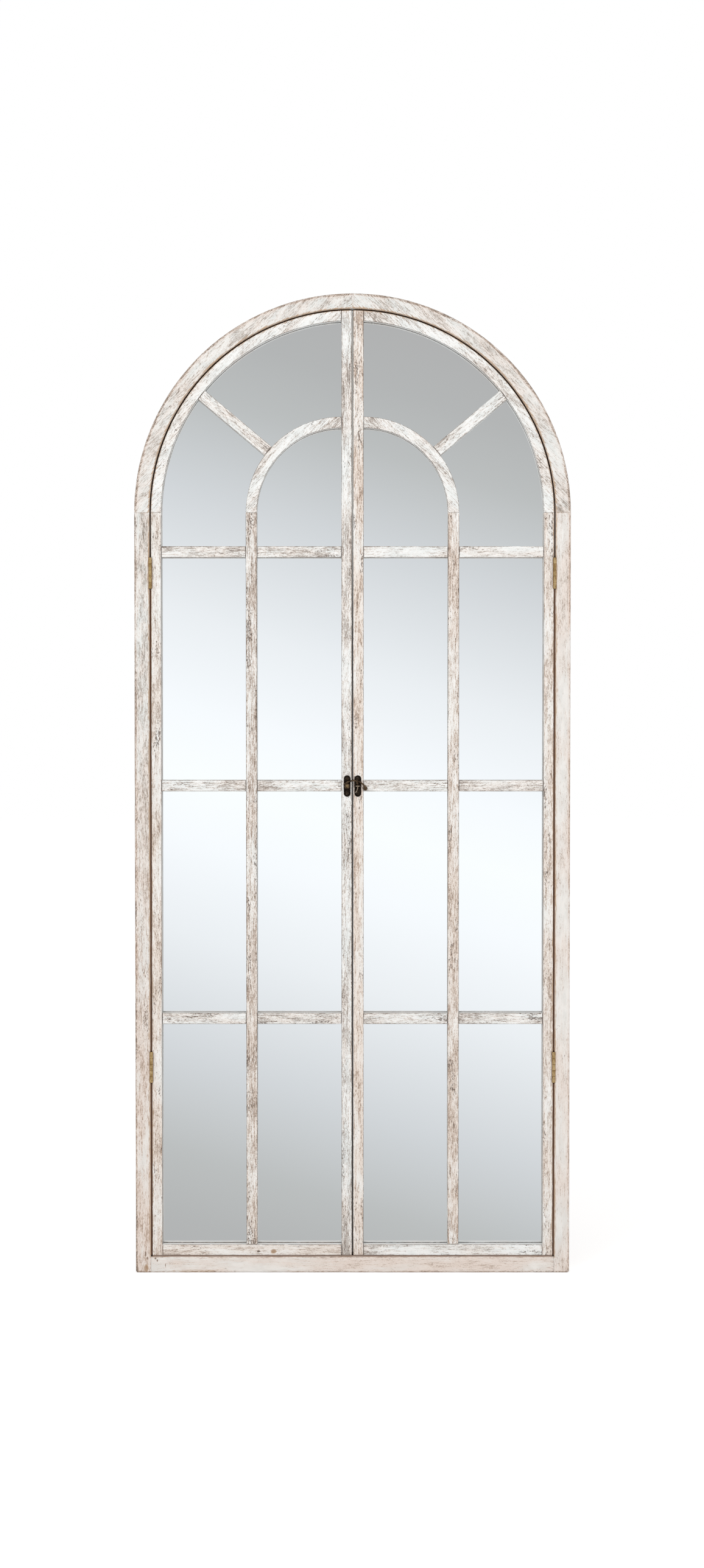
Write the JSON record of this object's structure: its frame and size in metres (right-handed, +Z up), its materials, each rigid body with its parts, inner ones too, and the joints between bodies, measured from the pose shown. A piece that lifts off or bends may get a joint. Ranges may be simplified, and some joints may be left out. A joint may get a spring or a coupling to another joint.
{
  "type": "arched window mirror",
  "caption": "Tall round-headed mirror in a wooden frame, behind open lattice sashes that swing out on butt hinges and are held shut by a hook latch.",
  "frame": {"origin": "middle of the foot, half way through the frame's depth", "axes": "+Z up along the height, +Y towards the wall, so that the front faces -Y, and +X to the viewer's right"},
  "size_m": [0.7986, 0.0367, 1.7968],
  "materials": {
    "whitewashed_wood": "whitewashed and worn, matt",
    "mirror": "silvered plate glass",
    "backboard": "bare brown hardboard",
    "brass": "aged satin brass",
    "dark_bronze": "dark bronze, satin",
    "zinc_plate": "zinc plated",
    "bumper": "clear soft rubber"
  },
  "bodies": {
    "frame": {"frame_bottom_rail": "whitewashed_wood", "frame_left_stile": "whitewashed_wood", "frame_right_stile": "whitewashed_wood", "frame_left_arch": "whitewashed_wood", "frame_right_arch": "whitewashed_wood", "mirror_glass": "mirror", "backboard": "backboard", "left_keyhole_hanger": "zinc_plate", "right_keyhole_hanger": "zinc_plate", "left_lower_hinge_frame_leaf": "brass", "left_lower_hinge_pin": "brass", "left_upper_hinge_frame_leaf": "brass", "left_upper_hinge_pin": "brass", "right_lower_hinge_frame_leaf": "brass", "right_lower_hinge_pin": "brass", "right_upper_hinge_frame_leaf": "brass", "right_upper_hinge_pin": "brass"},
    "left_sash": {"left_sash_meeting_stile": "whitewashed_wood", "left_sash_hinge_stile": "whitewashed_wood", "left_sash_bottom_rail": "whitewashed_wood", "left_sash_arch_rail": "whitewashed_wood", "left_sash_mullion": "whitewashed_wood", "left_sash_inner_arch": "whitewashed_wood", "left_sash_spoke": "whitewashed_wood", "left_sash_inner_bar_1": "whitewashed_wood", "left_sash_inner_bar_2": "whitewashed_wood", "left_sash_inner_bar_3": "whitewashed_wood", "left_sash_outer_bar_1": "whitewashed_wood", "left_sash_outer_bar_2": "whitewashed_wood", "left_sash_outer_bar_3": "whitewashed_wood", "left_lower_bumper": "bumper", "left_upper_bumper": "bumper", "left_lower_hinge_sash_leaf": "brass", "left_upper_hinge_sash_leaf": "brass", "latch_plate": "dark_bronze", "left_latch_upper_screw": "dark_bronze", "left_latch_lower_screw": "dark_bronze", "latch_rivet": "dark_bronze"},
    "right_sash": {"right_sash_meeting_stile": "whitewashed_wood", "right_sash_hinge_stile": "whitewashed_wood", "right_sash_bottom_rail": "whitewashed_wood", "right_sash_arch_rail": "whitewashed_wood", "right_sash_mullion": "whitewashed_wood", "right_sash_inner_arch": "whitewashed_wood", "right_sash_spoke": "whitewashed_wood", "right_sash_inner_bar_1": "whitewashed_wood", "right_sash_inner_bar_2": "whitewashed_wood", "right_sash_inner_bar_3": "whitewashed_wood", "right_sash_outer_bar_1": "whitewashed_wood", "right_sash_outer_bar_2": "whitewashed_wood", "right_sash_outer_bar_3": "whitewashed_wood", "right_lower_bumper": "bumper", "right_upper_bumper": "bumper", "right_lower_hinge_sash_leaf": "brass", "right_upper_hinge_sash_leaf": "brass", "keeper_plate": "dark_bronze", "right_latch_upper_screw": "dark_bronze", "right_latch_lower_screw": "dark_bronze"},
    "hook": {"latch_hook": "dark_bronze"}
  },
  "joints": [
    {"name": "left_sash_hinge", "type": "hinge", "parent": "frame", "child": "left_sash", "pos_m": [-0.3699, -0.0155, 0.83], "axis": [0, 0, -1], "range_deg": [0, 170]},
    {"name": "right_sash_hinge", "type": "hinge", "parent": "frame", "child": "right_sash", "pos_m": [0.3699, -0.0155, 0.83], "axis": [0, 0, 1], "range_deg": [0, 170]},
    {"name": "hook_swing", "type": "hinge", "parent": "left_sash", "child": "hook", "pos_m": [-0.00975, -0.0178, 0.89745], "axis": [0, -1, 0], "range_deg": [0, 110]}
  ]
}
